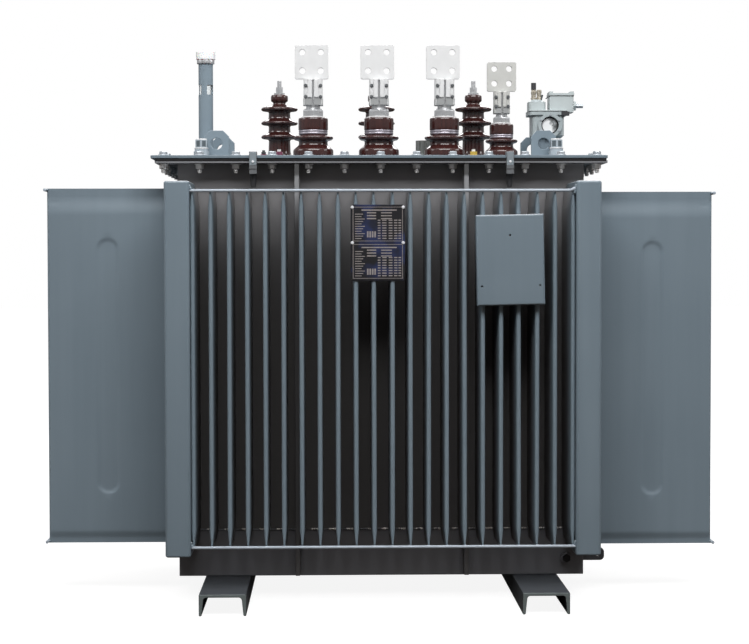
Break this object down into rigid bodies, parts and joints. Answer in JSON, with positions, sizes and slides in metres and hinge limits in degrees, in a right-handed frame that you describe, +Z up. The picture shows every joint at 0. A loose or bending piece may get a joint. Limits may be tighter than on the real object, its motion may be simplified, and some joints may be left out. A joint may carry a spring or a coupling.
{
  "type": "oil-immersed transformer",
  "caption": "Sealed distribution transformer: corrugated fin tank on channel skids, bolted cover with porcelain bushings, palm terminals, filler pipe and protection relay.",
  "frame": {"origin": "on the ground, midway between the skids and between the front and rear of the tank", "axes": "+X along the tank to the right in the picture, -Y to the picture's viewer, +Z up"},
  "size_m": [1.805, 1.02, 1.48],
  "materials": {
    "tank_paint": "satin blue-grey paint",
    "skid_paint": "satin dark grey paint",
    "gasket_rubber": "matte black",
    "porcelain": "glossy dark red-brown glaze",
    "tinned_metal": "pale tinned finish",
    "stud_metal": "plated finish",
    "galvanised": "dull zinc finish",
    "relay_paint": "satin pale grey paint",
    "sight_glass": "clear",
    "cap_plastic": "ivory",
    "earth_brass": "satin",
    "plate_enamel": "dark blue-black enamel"
  },
  "bodies": {
    "root": {"corner_posts": "tank_paint", "cover_clips": "galvanised", "cover_earth_studs": "earth_brass", "cover_gasket": "gasket_rubber", "cover_plate": "tank_paint", "cover_plugs": "galvanised", "drain_plug": "tank_paint", "filler_cap": "cap_plastic", "filler_pipe": "tank_paint", "filler_sight_glass": "sight_glass", "fin_rods": "tank_paint", "front_fin_wall": "tank_paint", "hv_1_bushing": "porcelain", "hv_2_bushing": "porcelain", "hv_3_bushing": "porcelain", "hv_terminals": "stud_metal", "instrument_tray": "tank_paint", "junction_box": "relay_paint", "left_fin_wall": "tank_paint", "lifting_lugs": "tank_paint", "lv_1_bushing": "porcelain", "lv_1_terminal": "tinned_metal", "lv_2_bushing": "porcelain", "lv_2_terminal": "tinned_metal", "lv_3_bushing": "porcelain", "lv_3_terminal": "tinned_metal", "lv_studs": "stud_metal", "neutral_bushing": "porcelain", "neutral_terminal": "tinned_metal", "rating_plate": "plate_enamel", "rear_fin_wall": "tank_paint", "relay_body": "relay_paint", "relay_head": "relay_paint", "relay_neck": "tank_paint", "relay_window": "sight_glass", "right_fin_wall": "tank_paint", "rim_bars": "tank_paint", "side_earth_lug": "skid_paint", "skid_channel_left": "skid_paint", "skid_channel_right": "skid_paint", "tank_floor": "tank_paint", "tap_changer_cap": "galvanised", "tie_bars": "tank_paint"}
  },
  "joints": []
}
